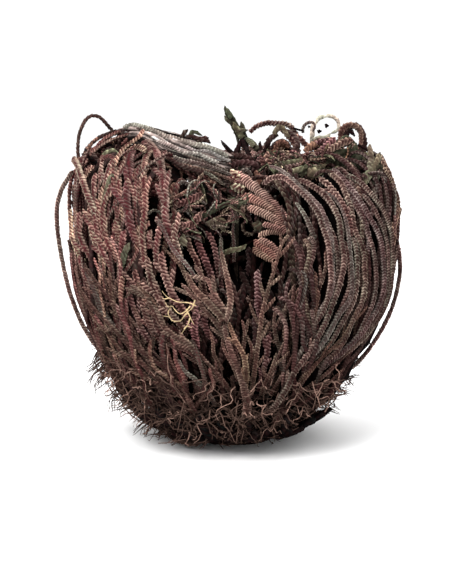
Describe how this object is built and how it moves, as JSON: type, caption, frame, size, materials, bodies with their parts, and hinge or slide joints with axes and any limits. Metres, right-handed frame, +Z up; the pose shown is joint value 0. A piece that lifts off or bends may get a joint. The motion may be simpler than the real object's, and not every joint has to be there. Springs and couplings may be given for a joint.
{
  "type": "rose of jericho",
  "caption": "Dried, closed rose of Jericho: a woody crown with wiry roots, and scaly mauve-brown fronds in nested whorls that rise round a hollow and curl in over it.",
  "frame": {"origin": "centre of the flat spot under the crown that the plant rests on", "axes": "+Z up out of the crown, -Y towards the open front of the ball, +X to the right seen from the front"},
  "size_m": [0.1006, 0.09, 0.0969],
  "materials": {
    "mauve_frond": "dry, overlapping scale leaves with pale edges",
    "brown_frond": "dry, overlapping scale leaves",
    "dark_frond": "dry and dark, in the shade of the ball",
    "brown_stem": "dry stem with scale leaves pressed flat",
    "olive_tip": "dull olive underside",
    "crown": "rough, woody",
    "root": "wiry, dry"
  },
  "bodies": {
    "root": {"crown": "crown", "root_bundle_right": "root", "root_bundle_back_right": "root", "root_bundle_back_left": "root", "root_bundle_left": "root", "root_bundle_front_left": "root", "root_bundle_front_right": "root", "outer_frond_1": "mauve_frond", "outer_frond_2": "mauve_frond", "outer_frond_3": "mauve_frond", "outer_frond_4": "mauve_frond", "outer_frond_5": "mauve_frond", "outer_frond_6": "mauve_frond", "outer_frond_7": "mauve_frond", "outer_frond_8": "mauve_frond", "outer_frond_9": "mauve_frond", "outer_frond_10": "mauve_frond", "outer_frond_12": "mauve_frond", "outer_frond_13": "mauve_frond", "outer_frond_14": "mauve_frond", "second_frond_1": "mauve_frond", "second_frond_2": "mauve_frond", "second_frond_3": "mauve_frond", "second_frond_4": "mauve_frond", "second_frond_5": "mauve_frond", "second_frond_6": "mauve_frond", "second_frond_7": "mauve_frond", "second_frond_8": "mauve_frond", "second_frond_9": "mauve_frond", "second_frond_10": "mauve_frond", "second_frond_11": "mauve_frond", "second_frond_12": "mauve_frond", "third_frond_1": "brown_frond", "third_frond_2": "brown_frond", "third_frond_3": "brown_frond", "third_frond_4": "brown_frond", "third_frond_5": "brown_frond", "third_frond_6": "brown_frond", "third_frond_7": "brown_frond", "third_frond_8": "brown_frond", "fourth_frond_1": "dark_frond", "fourth_frond_2": "dark_frond", "fourth_frond_3": "dark_frond", "fourth_frond_4": "dark_frond", "fourth_frond_5": "dark_frond", "inner_frond_1": "dark_frond", "inner_frond_2": "dark_frond", "inner_frond_3": "dark_frond", "fan_frond": "mauve_frond", "centre_stem": "brown_stem", "centre_stem_left_fork": "brown_stem", "centre_stem_right_fork": "brown_stem", "outlying_stem_left": "brown_stem", "outlying_stem_right": "brown_stem", "looped_tip_left": "brown_stem", "pale_ring_curl": "brown_stem", "brown_ring_curl": "brown_stem", "antler_shoot": "olive_tip", "antler_prong": "olive_tip"}
  },
  "joints": []
}
